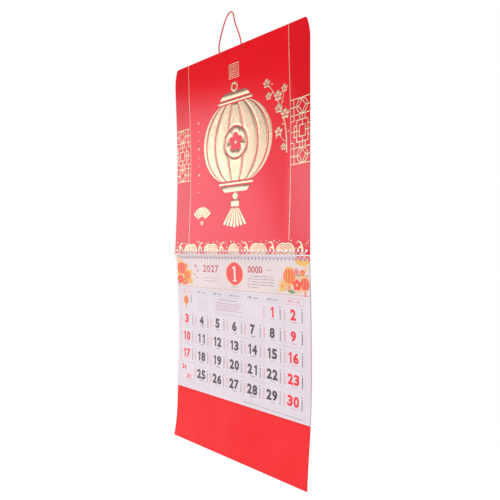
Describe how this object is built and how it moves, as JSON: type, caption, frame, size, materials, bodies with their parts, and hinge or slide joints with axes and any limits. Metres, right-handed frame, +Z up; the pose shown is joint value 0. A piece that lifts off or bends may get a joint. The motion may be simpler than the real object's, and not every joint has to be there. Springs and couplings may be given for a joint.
{
  "type": "wall calendar",
  "caption": "Hanging wall calendar: a bowed red card with gold foil, a wire-bound pad of month leaves over a longer red card, and a cord loop for a nail.",
  "frame": {"origin": "top of the nail, under the highest point of the cord loop", "axes": "+Z up, the printed side faces -Y, +X to the right as seen from the front"},
  "size_m": [0.345, 0.0245, 0.8058],
  "materials": {
    "red_board": "satin",
    "white_wire": "gloss",
    "gold_foil": "satin",
    "red_cord": "matte",
    "printed_leaves": "matte",
    "red_card": "satin"
  },
  "bodies": {
    "board": {"upper_board": "red_board", "binding_wire": "white_wire", "gold_ornament": "gold_foil", "gold_fret_square": "gold_foil", "gold_lattices": "gold_foil", "gold_lines": "gold_foil", "gold_wave_border": "gold_foil", "hang_cord": "red_cord", "cord_knot_left": "red_cord", "cord_knot_right": "red_cord"},
    "pad": {"calendar_pad": "printed_leaves"},
    "card": {"back_card": "red_card"}
  },
  "joints": [
    {"name": "pad_turn", "type": "hinge", "parent": "board", "child": "pad", "pos_m": [0, 0.008, -0.435], "axis": [-1, 0, 0], "range_deg": [0, 175]},
    {"name": "card_turn", "type": "hinge", "parent": "board", "child": "card", "pos_m": [0, 0.008, -0.435], "axis": [1, 0, 0], "range_deg": [0, 90]}
  ]
}
